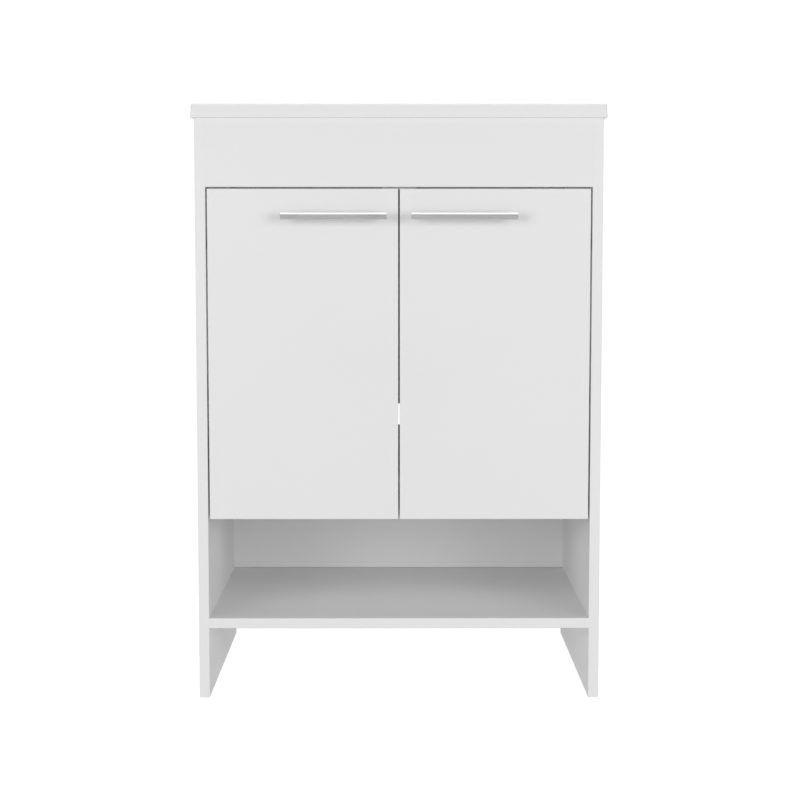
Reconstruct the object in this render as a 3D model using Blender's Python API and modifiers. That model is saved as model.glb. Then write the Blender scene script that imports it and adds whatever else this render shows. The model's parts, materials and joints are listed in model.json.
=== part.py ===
"""Freestanding bathroom vanity cabinet with a moulded basin top.

Two side panels run down to the floor as legs. Between them hang a cabinet with two inset doors,
an open bay and a bottom shelf. Each door turns on two concealed hinges.

Metres, +Z up. The front faces -Y, and Z = 0 is the floor. Depths are measured from the front
plane, towards the wall.
"""

import math

import bmesh
import bpy
from mathutils import Vector

# Overall sizes
WIDTH = 0.590  # over the side panels
DEPTH = 0.430  # side panels, front edge to wall
BOARD = 0.015  # thickness of every board
FRONT_Y = -0.200  # world Y of the front plane
GAP = 0.0003  # between pieces that touch
DOOR_GAP = 0.0024  # round and between the doors
EDGE_ROUND = 0.0007  # on the edges of every board

# Heights above the floor
SHELF_BOTTOM = 0.104
DOOR_BOTTOM = 0.2668
LOWER_RAIL_TOP = 0.307
BACK_PANEL_TOP = 0.364
INNER_SHELF_BOTTOM = 0.436
HANDLE_HEIGHT = 0.709
WALL_RAIL_BOTTOM = 0.755
APRON_BOTTOM = 0.7512
TOP_BOTTOM = 0.8505
TOP_HEIGHT = 0.870

# Depths behind the front plane
LOWER_RAIL_DEPTH = 0.0245  # clear of the door edges, which swing back as the doors open
BACK_PANEL_DEPTH = 0.4025
INNER_SHELF_REAR = 0.330
STILE_WIDTH = 0.050

# Moulded top and its basin
TOP_WIDTH = 0.600
TOP_OVERHANG = 0.005
TOP_DRAFT = 0.0012
TOP_EDGE_ROUND = 0.002
TOP_CORNER = 0.003
BASIN_WIDTH = 0.500
BASIN_LENGTH = 0.270
BASIN_CENTRE = 0.175  # behind the front plane
BASIN_CORNER = 0.060
BASIN_LIP = 0.006
BASIN_WALL = 0.009
BASIN_FLOOR = 0.752
BASIN_FLOOR_ROUND = 0.035
BASIN_DRAFT = math.radians(6)
CORNER_SHRINK = 0.6  # how fast the corners tighten as the basin narrows
DRAIN_DISH_RADIUS = 0.032
DRAIN_DISH_DROP = 0.006
DRAIN_RADIUS = 0.0225
OVERFLOW_RADIUS = 0.011
OVERFLOW_HEIGHT = 0.823
TAP_HOLE_RADIUS = 0.0175
TAP_HOLE_DEPTH = 0.372

# Handles
HANDLE_LENGTH = 0.152
HANDLE_CENTRE_X = 0.094
HANDLE_BAR = 0.010
HANDLE_BAR_DEPTH = 0.008
HANDLE_REACH = 0.030
POST_SPACING = 0.128
POST_RADIUS = 0.0045
HANDLE_SCREW_BITE = 0.012

# Hinges. "In" is measured from the side panel's inner face towards the middle of the cabinet.
HINGE_HEIGHTS = {"lower": 0.347, "upper": 0.669}
PIVOT_FROM_DOOR_EDGE = 0.014
PIVOT_IN = DOOR_GAP + PIVOT_FROM_DOOR_EDGE
PIVOT_DEPTH = BOARD / 2
CUP_FROM_DOOR_EDGE = 0.0215
CUP_RADIUS = 0.0172
CUP_WALL = 0.001
CUP_FLOOR_DEPTH = 0.0035
CUP_FLOOR_THICKNESS = 0.0008
BOSS_START = 0.008  # from the cup's mid-height to each boss
BOSS_LENGTH = 0.0049
BOSS_WIDTH = 0.006
FLANGE_THICKNESS = 0.0012
FLANGE_WIDTH = 0.024
FLANGE_LENGTH = 0.064
PIN_RADIUS = 0.0012
PIN_HALF_LENGTH = 0.0126
EYE_BORE = 0.0015
EYE_RADIUS = 0.0029
ARM_THICKNESS = 0.002
ARM_WIDTH = 0.012
ARM_ANGLE = math.radians(24)
ARM_REACH = 0.026
CRANK_DEPTH = 0.0285
ARM_FOOT_DEPTH = 0.0335
PLATE_DEPTH = 0.052
PLATE_LENGTH = 0.050
PLATE_WIDTH = 0.028
PLATE_THICKNESS = 0.0028
RIDGE_HEIGHT = 0.008
RIDGE_LENGTH = 0.052
RIDGE_WIDTH = 0.013
PLATE_SCREW_OFFSET = 0.016
LOCK_SCREW_DEPTH = 0.062

# Cam connectors of the bottom shelf
CAM_RADIUS = 0.0072
CAM_HEIGHT = 0.0117
CAM_IN = 0.024
CAM_DEPTHS = {"front": 0.060, "rear": 0.350}
CAM_POCKET = 0.0074  # across the pocket that takes the bolt's head
CAM_POCKET_BACK = 0.003  # the pocket's reach past the cam's centre
CAM_SLOT_LENGTH = 0.008
CAM_SLOT_WIDTH = 0.0014
CAM_SLOT_DEPTH = 0.0015
BOLT_HEAD_RADIUS = 0.0032
BOLT_HEAD_HEIGHT = 0.003
BOLT_SHANK_RADIUS = 0.0020
BOLT_COLLAR_RADIUS = 0.0034
BOLT_COLLAR_HEIGHT = 0.0015
BOLT_REACH = 0.0245

# Screws: (head radius, head height, shank radius)
HANDLE_SCREW = (0.0040, 0.0022, 0.0020)
PLATE_SCREW = (0.0048, 0.0022, 0.0029)
LOCK_SCREW = (0.0035, 0.0018, 0.0018)
SIDE_BITE = 0.0105  # how far bolts and screws go into a side panel
PAST = 0.002  # how far a cutter runs past the face it cuts

INNER_X = WIDTH / 2 - BOARD  # inner face of a side panel
DOOR_OUTER_X = INNER_X - DOOR_GAP
DOOR_INNER_X = DOOR_GAP / 2
DOOR_TOP = APRON_BOTTOM - DOOR_GAP
SHELF_TOP = SHELF_BOTTOM + BOARD
CABINET_FLOOR_TOP = DOOR_BOTTOM + BOARD
SIDES = {"left": -1, "right": 1}

for leftover in list(bpy.data.objects):
    bpy.data.objects.remove(leftover)

vanity = bpy.data.collections.new("bathroom_vanity")
cutters = bpy.data.collections.new("cutters")
for collection in (vanity, cutters):
    bpy.context.scene.collection.children.link(collection)


def material(name, colour, roughness, metallic=0.0):
    made = bpy.data.materials.new(name)
    made.use_nodes = True
    shader = made.node_tree.nodes["Principled BSDF"]
    shader.inputs["Base Color"].default_value = (*colour, 1.0)
    shader.inputs["Roughness"].default_value = roughness
    shader.inputs["Metallic"].default_value = metallic
    made.diffuse_color = (*colour, 1.0)
    return made


melamine = material("white_melamine", (0.80, 0.80, 0.80), 0.38)
glaze = material("white_glaze", (0.84, 0.84, 0.83), 0.10)
handle_metal = material("satin_nickel", (0.48, 0.48, 0.48), 0.32, 1.0)
hinge_metal = material("nickel_plated_steel", (0.62, 0.61, 0.59), 0.26, 1.0)
screw_metal = material("zinc_plated_steel", (0.66, 0.66, 0.68), 0.34, 1.0)
cam_metal = material("zinc_casting", (0.52, 0.52, 0.54), 0.45, 1.0)


def inward(side, distance):
    """World X at a distance in from a side panel's inner face."""
    return SIDES[side] * (INNER_X - distance)


def add(name, data, surface=None, parent=None, location=(0, 0, 0)):
    """An object of the vanity, or a cutter when it has no surface."""
    made = bpy.data.objects.new(name, data)
    if surface:
        made.data.materials.append(surface)
        vanity.objects.link(made)
    else:
        made.hide_render = True
        made.display_type = "WIRE"
        cutters.objects.link(made)
    made.parent = parent
    made.location = Vector(location) - (parent.location if parent else Vector())
    return made


def box(name, xs, depths, heights, surface=None, parent=None, rounding=0.0, segments=2):
    """A box between two X values, two depths behind the front plane and two heights."""
    low = Vector((min(xs), FRONT_Y + min(depths), min(heights)))
    high = Vector((max(xs), FRONT_Y + max(depths), max(heights)))
    mesh = bpy.data.meshes.new(name)
    shape = bmesh.new()
    bmesh.ops.create_cube(shape, size=1.0)
    bmesh.ops.scale(shape, vec=high - low, verts=shape.verts)
    shape.to_mesh(mesh)
    shape.free()
    made = add(name, mesh, surface, parent, (low + high) / 2)
    if rounding:
        bevel = made.modifiers.new("edge_round", "BEVEL")
        bevel.width = rounding
        bevel.segments = segments
    return made


def point(x, depth, height):
    return Vector((x, FRONT_Y + depth, height))


def rod(name, radius, start, end, surface=None, parent=None, segments=24):
    """A cylinder between two points."""
    along = end - start
    mesh = bpy.data.meshes.new(name)
    shape = bmesh.new()
    bmesh.ops.create_cone(
        shape,
        cap_ends=True,
        segments=segments,
        radius1=radius,
        radius2=radius,
        depth=along.length,
    )
    shape.to_mesh(mesh)
    shape.free()
    mesh.shade_smooth()
    mesh.set_sharp_from_angle(angle=math.radians(40))
    made = add(name, mesh, surface, parent, (start + end) / 2)
    made.rotation_euler = along.to_track_quat("Z", "Y").to_euler()
    return made


def turned(name, profile, foot, direction, surface=None, parent=None, steps=24):
    """A turned piece. The profile lists (radius, height) down its outer side, from top to foot."""
    mesh = bpy.data.meshes.new(name)
    shape = bmesh.new()
    corners = [shape.verts.new((radius, 0, height)) for radius, height in profile]
    for upper, lower in zip(corners, corners[1:]):
        shape.edges.new((upper, lower))
    shape.to_mesh(mesh)
    shape.free()
    made = add(name, mesh, surface, parent, foot)
    made.rotation_euler = Vector(direction).to_track_quat("Z", "Y").to_euler()
    screw = made.modifiers.new("turn", "SCREW")
    screw.steps = steps
    screw.render_steps = steps
    screw.use_merge_vertices = True
    screw.merge_threshold = 0.00001
    return made


def screw_profile(size, seat, tip):
    """A round-headed screw whose head stands on its seat and whose point is at its tip."""
    head_radius, head_height, radius = size
    head = [(0, head_height), (head_radius * 0.7, head_height * 0.85)]
    head += [(head_radius, head_height * 0.4), (head_radius, 0), (radius, 0)]
    profile = [(across, seat + height) for across, height in head]
    return profile + [(radius, tip + radius / 2), (radius / 2, tip), (0, tip)]


def combine(target, operation, *others):
    for other in others:
        boolean = target.modifiers.new(other.name, "BOOLEAN")
        boolean.operation = operation
        boolean.object = other
        boolean.solver = "EXACT"


def board(name, xs, depths, heights, parent=None):
    return box(name, xs, depths, heights, melamine, parent, EDGE_ROUND, 1)


def between_sides(name, depths, heights):
    """A board that spans the cabinet from one side panel to the other."""
    reach = INNER_X - GAP
    return board(name, (-reach, reach), depths, heights)


# Carcass


def side_panels():
    made = {}
    for side in SIDES:
        made[side] = board(
            f"{side}_side_panel",
            (inward(side, 0), inward(side, -BOARD)),
            (0, DEPTH),
            (0, TOP_BOTTOM - GAP),
        )
    return made


def cabinet_boards():
    """The boards between the side panels. Returns the bottom shelf, which takes the connectors."""
    rail_rear = LOWER_RAIL_DEPTH + BOARD
    stile_front = BOARD + GAP
    stile_rear = stile_front + BOARD
    back_rear = BACK_PANEL_DEPTH + BOARD
    shelf = between_sides("bottom_shelf", (0, back_rear), (SHELF_BOTTOM, SHELF_TOP))
    between_sides("back_panel", (BACK_PANEL_DEPTH, back_rear), (SHELF_TOP + GAP, BACK_PANEL_TOP))
    between_sides("front_lower_rail", (LOWER_RAIL_DEPTH, rail_rear), (DOOR_BOTTOM, LOWER_RAIL_TOP))
    between_sides(
        "cabinet_floor",
        (rail_rear + GAP, BACK_PANEL_DEPTH - GAP),
        (DOOR_BOTTOM, CABINET_FLOOR_TOP),
    )
    between_sides(
        "inner_shelf",
        (stile_rear + GAP, INNER_SHELF_REAR),
        (INNER_SHELF_BOTTOM, INNER_SHELF_BOTTOM + BOARD),
    )
    between_sides("front_apron", (0, BOARD), (APRON_BOTTOM, TOP_BOTTOM - GAP))
    between_sides("rear_wall_rail", (DEPTH - BOARD, DEPTH), (WALL_RAIL_BOTTOM, TOP_BOTTOM - GAP))
    board(
        "centre_stile",
        (-STILE_WIDTH / 2, STILE_WIDTH / 2),
        (stile_front, stile_rear),
        (INNER_SHELF_BOTTOM, TOP_BOTTOM - GAP),
    )
    return shelf


def bolt_profile():
    """A double-ended bolt: head and shank for the cam, a collar, then the thread in the side panel."""
    neck = BOLT_REACH - BOLT_HEAD_HEIGHT
    thread_radius = BOLT_COLLAR_RADIUS * 0.8
    profile = [(0, BOLT_REACH), (BOLT_HEAD_RADIUS, BOLT_REACH), (BOLT_HEAD_RADIUS, neck)]
    profile += [(BOLT_SHANK_RADIUS, neck), (BOLT_SHANK_RADIUS, BOLT_COLLAR_HEIGHT)]
    profile += [(BOLT_COLLAR_RADIUS, BOLT_COLLAR_HEIGHT), (BOLT_COLLAR_RADIUS, GAP), (thread_radius, GAP)]
    profile += [(thread_radius, -SIDE_BITE + thread_radius / 2), (thread_radius / 2, -SIDE_BITE)]
    return profile + [(0, -SIDE_BITE)]


def shelf_connector(label, side, depth, shelf, panel):
    """A cam in the shelf's underside draws a bolt, which is screwed into the side panel."""
    axis_height = SHELF_BOTTOM + BOARD / 2
    inner = Vector((-SIDES[side], 0, 0))
    face = point(inward(side, 0), depth, axis_height)
    cam_foot = point(inward(side, CAM_IN), depth, SHELF_BOTTOM + GAP)
    cam_top = cam_foot + Vector((0, 0, CAM_HEIGHT))
    half_pocket = CAM_POCKET / 2
    pocket = box(
        f"cut_cam_pocket_{label}",
        (inward(side, CAM_IN + CAM_POCKET_BACK), inward(side, CAM_IN - CAM_RADIUS - PAST)),
        (depth - half_pocket, depth + half_pocket),
        (axis_height - half_pocket, axis_height + half_pocket),
    )
    driver_slot = box(
        f"cut_cam_slot_{label}",
        (inward(side, CAM_IN - CAM_SLOT_LENGTH / 2), inward(side, CAM_IN + CAM_SLOT_LENGTH / 2)),
        (depth - CAM_SLOT_WIDTH / 2, depth + CAM_SLOT_WIDTH / 2),
        (SHELF_BOTTOM - PAST, SHELF_BOTTOM + GAP + CAM_SLOT_DEPTH),
    )
    cam = rod(f"shelf_cam_{label}", CAM_RADIUS, cam_foot, cam_top, cam_metal)
    combine(cam, "DIFFERENCE", pocket, driver_slot)
    turned(f"shelf_bolt_{label}", bolt_profile(), face, inner, screw_metal, steps=12)
    up = Vector((0, 0, 1))
    cam_hole = rod(f"cut_cam_hole_{label}", CAM_RADIUS + GAP, cam_foot - up * PAST, cam_top + up * GAP)
    bolt_radius = BOLT_COLLAR_RADIUS + GAP
    shelf_hole = rod(
        f"cut_shelf_hole_{label}",
        bolt_radius,
        face - inner * PAST,
        face + inner * CAM_IN,
        segments=16,
    )
    side_hole = rod(
        f"cut_side_hole_{label}",
        bolt_radius,
        face + inner * PAST,
        face - inner * (SIDE_BITE + GAP),
        segments=16,
    )
    combine(shelf, "DIFFERENCE", cam_hole, shelf_hole)
    combine(panel, "DIFFERENCE", side_hole)


# Moulded basin top


def rounded_rectangle(half_width, half_length, corner, height, centre_depth, steps=6):
    """The outline of a rectangle with round corners, as points anticlockwise from above."""
    points = []
    for quarter, (sx, sy) in enumerate(((1, 1), (-1, 1), (-1, -1), (1, -1))):
        for step in range(steps + 1):
            angle = math.radians(90) * (quarter + step / steps)
            x = sx * (half_width - corner) + corner * math.cos(angle)
            y = sy * (half_length - corner) + corner * math.sin(angle)
            points.append(point(x, centre_depth + y, height))
    return points


def circle(radius, height, centre_depth, count):
    """As many points as an outline has, starting where its first corner starts."""
    angles = [2 * math.pi * (i + 0.5) / count for i in range(count)]
    return [
        point(radius * math.cos(angle), centre_depth + radius * math.sin(angle), height)
        for angle in angles
    ]


def loft(name, rings, surface=None):
    """A closed solid through rings of equal length, from the top ring down."""
    mesh = bpy.data.meshes.new(name)
    shape = bmesh.new()
    loops = [[shape.verts.new(p) for p in ring] for ring in rings]
    count = len(loops[0])
    shape.faces.new(loops[0])
    shape.faces.new(list(reversed(loops[-1])))
    for upper, lower in zip(loops, loops[1:]):
        for i in range(count):
            following = (i + 1) % count
            shape.faces.new((upper[i], lower[i], lower[following], upper[following]))
    shape.to_mesh(mesh)
    shape.free()
    mesh.shade_smooth()
    mesh.set_sharp_from_angle(angle=math.radians(35))
    return add(name, mesh, surface)


def basin_ring(inset, height):
    return rounded_rectangle(
        BASIN_WIDTH / 2 - inset,
        BASIN_LENGTH / 2 - inset,
        BASIN_CORNER - CORNER_SHRINK * inset,
        height,
        BASIN_CENTRE,
    )


def basin_rings(offset, start):
    """The basin's inner surface moved outward by an offset, below its start."""
    wall_top = TOP_HEIGHT - BASIN_LIP
    round_top = BASIN_FLOOR + BASIN_FLOOR_ROUND
    wall_foot = BASIN_LIP + (wall_top - round_top) * math.tan(BASIN_DRAFT)
    radius = BASIN_FLOOR_ROUND + offset
    rings = list(start)
    for step in range(5):
        angle = math.radians(90) * step / 4
        inset = wall_foot - offset + radius * (1 - math.cos(angle))
        rings.append(basin_ring(inset, round_top - radius * math.sin(angle)))
    dish = BASIN_FLOOR - DRAIN_DISH_DROP - offset
    rings.append(circle(DRAIN_DISH_RADIUS + offset, dish, BASIN_CENTRE, len(rings[0])))
    return rings


def sink_top():
    centre = DEPTH / 2 - TOP_OVERHANG / 2
    half_width = TOP_WIDTH / 2
    half_length = (DEPTH + TOP_OVERHANG) / 2
    edge = [(TOP_DRAFT + TOP_EDGE_ROUND, TOP_HEIGHT)]
    edge += [(TOP_DRAFT + TOP_EDGE_ROUND * 0.3, TOP_HEIGHT - TOP_EDGE_ROUND * 0.3)]
    edge += [(TOP_DRAFT, TOP_HEIGHT - TOP_EDGE_ROUND), (0, TOP_BOTTOM)]
    slab = [
        rounded_rectangle(half_width - inset, half_length - inset, TOP_CORNER, height, centre, 4)
        for inset, height in edge
    ]
    top = loft("sink_top", slab, glaze)
    lip = [basin_ring(-PAST, TOP_HEIGHT + BASIN_LIP)]
    for step in range(4):
        angle = math.radians(90) * step / 3
        drop = BASIN_LIP * (1 - math.cos(angle))
        lip.append(basin_ring(BASIN_LIP * math.sin(angle), TOP_HEIGHT - drop))
    outer_start = [basin_ring(BASIN_LIP - BASIN_WALL, (TOP_HEIGHT + TOP_BOTTOM) / 2)]
    bowl = loft("join_basin", basin_rings(BASIN_WALL, outer_start))
    hollow = loft("cut_basin", basin_rings(0, lip))
    drain = rod(
        "cut_drain",
        DRAIN_RADIUS,
        point(0, BASIN_CENTRE, BASIN_FLOOR - DRAIN_DISH_DROP - BASIN_WALL - PAST),
        point(0, BASIN_CENTRE, BASIN_FLOOR),
        segments=32,
    )
    tap_hole = rod(
        "cut_tap_hole",
        TAP_HOLE_RADIUS,
        point(0, TAP_HOLE_DEPTH, TOP_BOTTOM - PAST),
        point(0, TAP_HOLE_DEPTH, TOP_HEIGHT + PAST),
        segments=32,
    )
    basin_rear = BASIN_CENTRE + BASIN_LENGTH / 2
    overflow = rod(
        "cut_overflow",
        OVERFLOW_RADIUS,
        point(0, basin_rear - BASIN_FLOOR_ROUND, OVERFLOW_HEIGHT),
        point(0, basin_rear + BASIN_WALL, OVERFLOW_HEIGHT),
    )
    combine(top, "UNION", bowl)
    combine(top, "DIFFERENCE", hollow, drain, tap_hole, overflow)


# Doors and handles


def door(side, axis):
    sign = SIDES[side]
    made = board(
        f"{side}_door",
        (sign * DOOR_INNER_X, sign * DOOR_OUTER_X),
        (0, BOARD),
        (DOOR_BOTTOM, DOOR_TOP),
        axis,
    )
    for level, height in HINGE_HEIGHTS.items():
        x = inward(side, DOOR_GAP + CUP_FROM_DOOR_EDGE)
        recess = rod(
            f"cut_cup_recess_{side}_{level}",
            CUP_RADIUS + GAP,
            point(x, CUP_FLOOR_DEPTH - GAP, height),
            point(x, BOARD + PAST, height),
            segments=32,
        )
        combine(made, "DIFFERENCE", recess)
    return made


def handle(side, axis, door_panel):
    sign = SIDES[side]
    centre = sign * HANDLE_CENTRE_X
    bar_rear = HANDLE_BAR_DEPTH - HANDLE_REACH
    box(
        f"{side}_handle_bar",
        (centre - HANDLE_LENGTH / 2, centre + HANDLE_LENGTH / 2),
        (-HANDLE_REACH, bar_rear),
        (HANDLE_HEIGHT - HANDLE_BAR / 2, HANDLE_HEIGHT + HANDLE_BAR / 2),
        handle_metal,
        axis,
        rounding=0.0016,
        segments=3,
    )
    for place, direction in (("inner", -1), ("outer", 1)):
        x = centre + sign * direction * POST_SPACING / 2
        label = f"{side}_handle_{place}"
        post = rod(
            f"{side}_handle_post_{place}",
            POST_RADIUS,
            point(x, bar_rear + GAP, HANDLE_HEIGHT),
            point(x, -GAP, HANDLE_HEIGHT),
            handle_metal,
            axis,
        )
        screw_radius = HANDLE_SCREW[2] + GAP
        thread = rod(
            f"cut_thread_{label}",
            screw_radius,
            point(x, -HANDLE_SCREW_BITE - 2 * GAP, HANDLE_HEIGHT),
            point(x, PAST, HANDLE_HEIGHT),
            segments=16,
        )
        clearance = rod(
            f"cut_clearance_{label}",
            screw_radius,
            point(x, -PAST, HANDLE_HEIGHT),
            point(x, BOARD + PAST, HANDLE_HEIGHT),
            segments=16,
        )
        combine(post, "DIFFERENCE", thread)
        combine(door_panel, "DIFFERENCE", clearance)
        profile = screw_profile(HANDLE_SCREW, BOARD + GAP, -HANDLE_SCREW_BITE)
        foot = point(x, 0, HANDLE_HEIGHT)
        turned(f"{side}_handle_screw_{place}", profile, foot, (0, 1, 0), screw_metal, axis, 12)


# Concealed hinges


def hinge_cup(label, side, height, axis):
    """A pressed cup, sunk in the door's back, with a flange and two bosses for the pin."""
    cup_x = inward(side, DOOR_GAP + CUP_FROM_DOOR_EDGE)
    pivot_x = inward(side, PIVOT_IN)
    inner = CUP_RADIUS - CUP_WALL
    rim = BOARD + GAP + FLANGE_THICKNESS
    floor = CUP_FLOOR_DEPTH + CUP_FLOOR_THICKNESS
    profile = [(0, floor), (inner, floor), (inner, rim), (CUP_RADIUS, rim)]
    profile += [(CUP_RADIUS, CUP_FLOOR_DEPTH), (0, CUP_FLOOR_DEPTH)]
    cup = turned(label, profile, point(cup_x, 0, height), (0, 1, 0), hinge_metal, axis, 32)
    flange = box(
        f"join_flange_{label}",
        (cup_x - FLANGE_WIDTH / 2, cup_x + FLANGE_WIDTH / 2),
        (BOARD + GAP, rim),
        (height - FLANGE_LENGTH / 2, height + FLANGE_LENGTH / 2),
    )
    mouth = rod(
        f"cut_mouth_{label}",
        CUP_RADIUS - CUP_WALL / 2,
        point(cup_x, BOARD - PAST, height),
        point(cup_x, rim + PAST, height),
        segments=32,
    )
    combine(flange, "DIFFERENCE", mouth)
    combine(cup, "UNION", flange)
    for name, sign in (("lower", -1), ("upper", 1)):
        boss = box(
            f"join_boss_{name}_{label}",
            (pivot_x - BOSS_WIDTH / 2, pivot_x + BOSS_WIDTH / 2),
            (CUP_FLOOR_DEPTH + CUP_FLOOR_THICKNESS / 2, PIVOT_DEPTH + BOSS_WIDTH / 2),
            (height + sign * BOSS_START, height + sign * (BOSS_START + BOSS_LENGTH)),
        )
        combine(cup, "UNION", boss)
    pin_bore = rod(
        f"cut_pin_bore_{label}",
        EYE_BORE,
        point(pivot_x, PIVOT_DEPTH, height - PIN_HALF_LENGTH - PAST / 2),
        point(pivot_x, PIVOT_DEPTH, height + PIN_HALF_LENGTH + PAST / 2),
        segments=16,
    )
    combine(cup, "DIFFERENCE", pin_bore)


def arm_outline():
    """The bent arm seen from above, as (in, depth) points: an eye, a crank and a straight foot."""
    half = ARM_THICKNESS / 2
    pivot = Vector((PIVOT_IN, PIVOT_DEPTH))
    crank = pivot + ARM_REACH * Vector((math.cos(ARM_ANGLE), math.sin(ARM_ANGLE)))
    ridge = RIDGE_HEIGHT + GAP + half
    line = [pivot, crank, Vector((crank.x + half, CRANK_DEPTH)), Vector((ridge, ARM_FOOT_DEPTH))]
    line.append(Vector((ridge, PLATE_DEPTH + RIDGE_LENGTH / 2)))
    headings = [(b - a).normalized() for a, b in zip(line, line[1:])]
    left, right = [], []
    for i in range(1, len(line)):
        before = headings[i - 1]
        after = headings[min(i, len(headings) - 1)]
        normal = Vector((-before.y - after.y, before.x + after.x)).normalized()
        mitre = half / normal.dot(Vector((-before.y, before.x)))
        left.append(line[i] + normal * mitre)
        right.append(line[i] - normal * mitre)
    opening = math.asin(half / EYE_RADIUS)
    sweep = 2 * (math.pi - opening)
    eye = []
    for step in range(13):
        angle = ARM_ANGLE + opening + sweep * step / 12
        eye.append(pivot + EYE_RADIUS * Vector((math.cos(angle), math.sin(angle))))
    return eye + right + left[::-1]


def hinge_arm(label, side, height):
    """A flat outline drawn as a curve, as tall as the arm is wide, then drilled for its pin and screw."""
    curve = bpy.data.curves.new(f"outline_{label}", "CURVE")
    curve.dimensions = "2D"
    curve.fill_mode = "BOTH"
    curve.extrude = ARM_WIDTH / 2
    outline = arm_outline()
    spline = curve.splines.new("POLY")
    spline.points.add(len(outline) - 1)
    for target, (distance, depth) in zip(spline.points, outline):
        target.co = (inward(side, distance), FRONT_Y + depth, 0, 1)
    spline.use_cyclic_u = True
    drawing = bpy.data.objects.new(f"outline_{label}", curve)
    vanity.objects.link(drawing)
    bpy.context.view_layer.update()
    evaluated = drawing.evaluated_get(bpy.context.evaluated_depsgraph_get())
    mesh = bpy.data.meshes.new_from_object(evaluated)
    bpy.data.objects.remove(drawing)
    shape = bmesh.new()
    shape.from_mesh(mesh)
    bmesh.ops.remove_doubles(shape, verts=shape.verts, dist=0.00001)
    bmesh.ops.recalc_face_normals(shape, faces=shape.faces)
    shape.to_mesh(mesh)
    shape.free()
    mesh.materials.clear()
    arm = add(label, mesh, hinge_metal, location=(0, 0, height))
    pivot_x = inward(side, PIVOT_IN)
    reach = ARM_WIDTH / 2 + PAST
    eye_bore = rod(
        f"cut_eye_{label}",
        EYE_BORE,
        point(pivot_x, PIVOT_DEPTH, height - reach),
        point(pivot_x, PIVOT_DEPTH, height + reach),
        segments=16,
    )
    screw_hole = rod(
        f"cut_arm_screw_{label}",
        LOCK_SCREW[2] + GAP,
        point(inward(side, RIDGE_HEIGHT), LOCK_SCREW_DEPTH, height),
        point(inward(side, RIDGE_HEIGHT + ARM_THICKNESS + PAST), LOCK_SCREW_DEPTH, height),
        segments=16,
    )
    combine(arm, "DIFFERENCE", eye_bore, screw_hole)


def hinge_plate(label, side, height):
    """The plate screwed to the side panel, with a raised ridge that the arm is locked on."""
    plate = box(
        label,
        (inward(side, GAP), inward(side, PLATE_THICKNESS)),
        (PLATE_DEPTH - PLATE_WIDTH / 2, PLATE_DEPTH + PLATE_WIDTH / 2),
        (height - PLATE_LENGTH / 2, height + PLATE_LENGTH / 2),
        hinge_metal,
    )
    ridge = box(
        f"join_ridge_{label}",
        (inward(side, PLATE_THICKNESS / 2), inward(side, RIDGE_HEIGHT)),
        (ARM_FOOT_DEPTH - ARM_THICKNESS, PLATE_DEPTH + RIDGE_LENGTH / 2),
        (height - RIDGE_WIDTH / 2, height + RIDGE_WIDTH / 2),
    )
    lock_hole = rod(
        f"cut_ridge_screw_{label}",
        LOCK_SCREW[2] + GAP,
        point(inward(side, PLATE_THICKNESS + GAP), LOCK_SCREW_DEPTH, height),
        point(inward(side, RIDGE_HEIGHT + PAST), LOCK_SCREW_DEPTH, height),
        segments=16,
    )
    combine(plate, "UNION", ridge)
    combine(plate, "DIFFERENCE", lock_hole)
    return plate


def hinge_screws(label, side, height, plate, panel):
    inner = Vector((-SIDES[side], 0, 0))
    for place, sign in (("lower", -1), ("upper", 1)):
        name = f"{label}_plate_screw_{place}"
        seat = point(inward(side, 0), PLATE_DEPTH, height + sign * PLATE_SCREW_OFFSET)
        profile = screw_profile(PLATE_SCREW, PLATE_THICKNESS + GAP, -SIDE_BITE)
        turned(name, profile, seat, inner, screw_metal, steps=14)
        hole = rod(
            f"cut_{name}",
            PLATE_SCREW[2] + GAP,
            seat - inner * (SIDE_BITE + GAP),
            seat + inner * (PLATE_THICKNESS + PAST),
            segments=16,
        )
        combine(plate, "DIFFERENCE", hole)
        combine(panel, "DIFFERENCE", hole)
    arm_top = RIDGE_HEIGHT + GAP + ARM_THICKNESS
    profile = screw_profile(LOCK_SCREW, arm_top + GAP, PLATE_THICKNESS + 2 * GAP)
    seat = point(inward(side, 0), LOCK_SCREW_DEPTH, height)
    turned(f"{label}_lock_screw", profile, seat, inner, screw_metal, steps=12)


def hinge(side, level, axis, panel):
    height = HINGE_HEIGHTS[level]
    label = f"{side}_{level}_hinge"
    pivot_x = inward(side, PIVOT_IN)
    hinge_cup(f"{label}_cup", side, height, axis)
    rod(
        f"{label}_pin",
        PIN_RADIUS,
        point(pivot_x, PIVOT_DEPTH, height - PIN_HALF_LENGTH),
        point(pivot_x, PIVOT_DEPTH, height + PIN_HALF_LENGTH),
        screw_metal,
        axis,
        segments=16,
    )
    hinge_arm(f"{label}_arm", side, height)
    plate = hinge_plate(f"{label}_plate", side, height)
    hinge_screws(label, side, height, plate, panel)


def door_axis(side):
    """The empty that a door and everything on it turn about."""
    axis = bpy.data.objects.new(f"{side}_door_axis", None)
    axis.location = point(inward(side, PIVOT_IN), PIVOT_DEPTH, DOOR_BOTTOM)
    vanity.objects.link(axis)
    return axis


panels = side_panels()
shelf = cabinet_boards()
for side in SIDES:
    for place, depth in CAM_DEPTHS.items():
        shelf_connector(f"{place}_{side}", side, depth, shelf, panels[side])
sink_top()
for side in SIDES:
    axis = door_axis(side)
    handle(side, axis, door(side, axis))
    for level in HINGE_HEIGHTS:
        hinge(side, level, axis, panels[side])
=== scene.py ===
"""The looks of the bathroom vanity cabinet: boards, glazed basin top, handles, hinges and studio."""

import json
import math

import bmesh
import bpy
from mathutils import Matrix, Vector


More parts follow.
